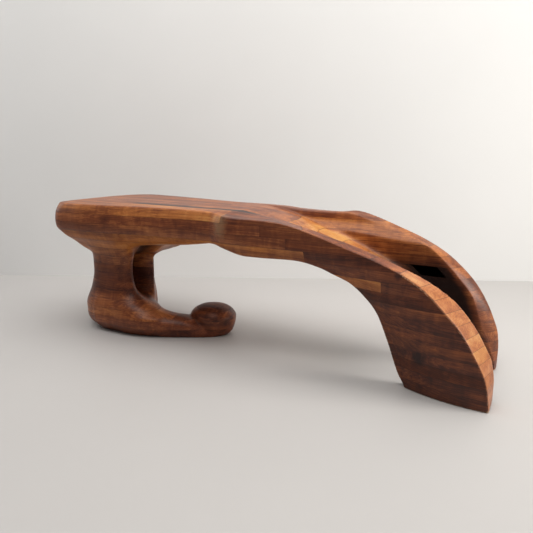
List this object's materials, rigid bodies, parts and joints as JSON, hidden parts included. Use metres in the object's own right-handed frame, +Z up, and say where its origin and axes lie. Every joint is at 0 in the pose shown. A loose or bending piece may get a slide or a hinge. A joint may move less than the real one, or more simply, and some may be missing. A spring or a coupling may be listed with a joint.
{
  "type": "sculptural laminated walnut bench",
  "caption": "Free-form indoor bench carved from glued layers of walnut board, with a waisted pedestal and long foot at one end and a pair of curved fins with a trough between them at the other.",
  "frame": {"origin": "centre of the bench's bounding box, on the floor", "axes": "+X along the seat, from the pedestal end to the fin end; +Y across the seat, from the flat face of the front fin to the rear; +Z up"},
  "size_m": [1.348, 0.426, 0.4212],
  "materials": {
    "walnut_brown": "satin oil, warm red-brown heartwood with dark streaks",
    "walnut_dark": "satin oil, dark purple-brown heartwood",
    "walnut_light": "satin oil, lighter orange-brown wood"
  },
  "bodies": {
    "root": {"sole_board": "walnut_dark", "foot_board": "walnut_brown", "toe_3": "walnut_brown", "toe_4": "walnut_dark", "pedestal_front_4": "walnut_brown", "pedestal_rear_4": "walnut_light", "pedestal_front_6": "walnut_brown", "pedestal_rear_6": "walnut_brown", "pedestal_front_8": "walnut_dark", "pedestal_rear_8": "walnut_brown", "pedestal_3": "walnut_brown", "pedestal_5": "walnut_brown", "pedestal_7": "walnut_dark", "pedestal_9": "walnut_brown", "pedestal_10": "walnut_brown", "flare_front_11": "walnut_light", "flare_rear_11": "walnut_dark", "front_beam_11": "walnut_brown", "rear_beam_11": "walnut_brown", "seat_front_12": "walnut_dark", "seat_rear_12": "walnut_brown", "nose_12": "walnut_light", "fin_start_12": "walnut_dark", "rear_beam_12": "walnut_brown", "seat_front_13": "walnut_light", "seat_rear_13": "walnut_dark", "beam_front_13": "walnut_dark", "beam_rear_13": "walnut_brown", "seat_front_14": "walnut_brown", "seat_rear_14": "walnut_light", "beam_front_14": "walnut_dark", "beam_rear_14": "walnut_brown", "seat_front_15": "walnut_brown", "seat_rear_15": "walnut_brown", "beam_front_15": "walnut_light", "beam_rear_15": "walnut_light", "seat_middle_15": "walnut_light", "beam_middle_15": "walnut_brown", "web_10": "walnut_brown", "front_fin_1": "walnut_brown", "rear_fin_1": "walnut_brown", "front_fin_2": "walnut_brown", "rear_fin_2": "walnut_dark", "front_fin_3": "walnut_dark", "rear_fin_3": "walnut_brown", "front_fin_4": "walnut_brown", "rear_fin_4": "walnut_brown", "front_fin_5": "walnut_light", "rear_fin_5": "walnut_brown", "front_fin_6": "walnut_brown", "rear_fin_6": "walnut_dark", "front_fin_7": "walnut_brown", "rear_fin_7": "walnut_brown", "front_fin_8": "walnut_brown", "rear_fin_8": "walnut_brown", "front_fin_9": "walnut_dark", "rear_fin_9": "walnut_light", "front_fin_10": "walnut_brown", "rear_fin_10": "walnut_brown", "front_fin_inner_10": "walnut_light"}
  },
  "joints": []
}
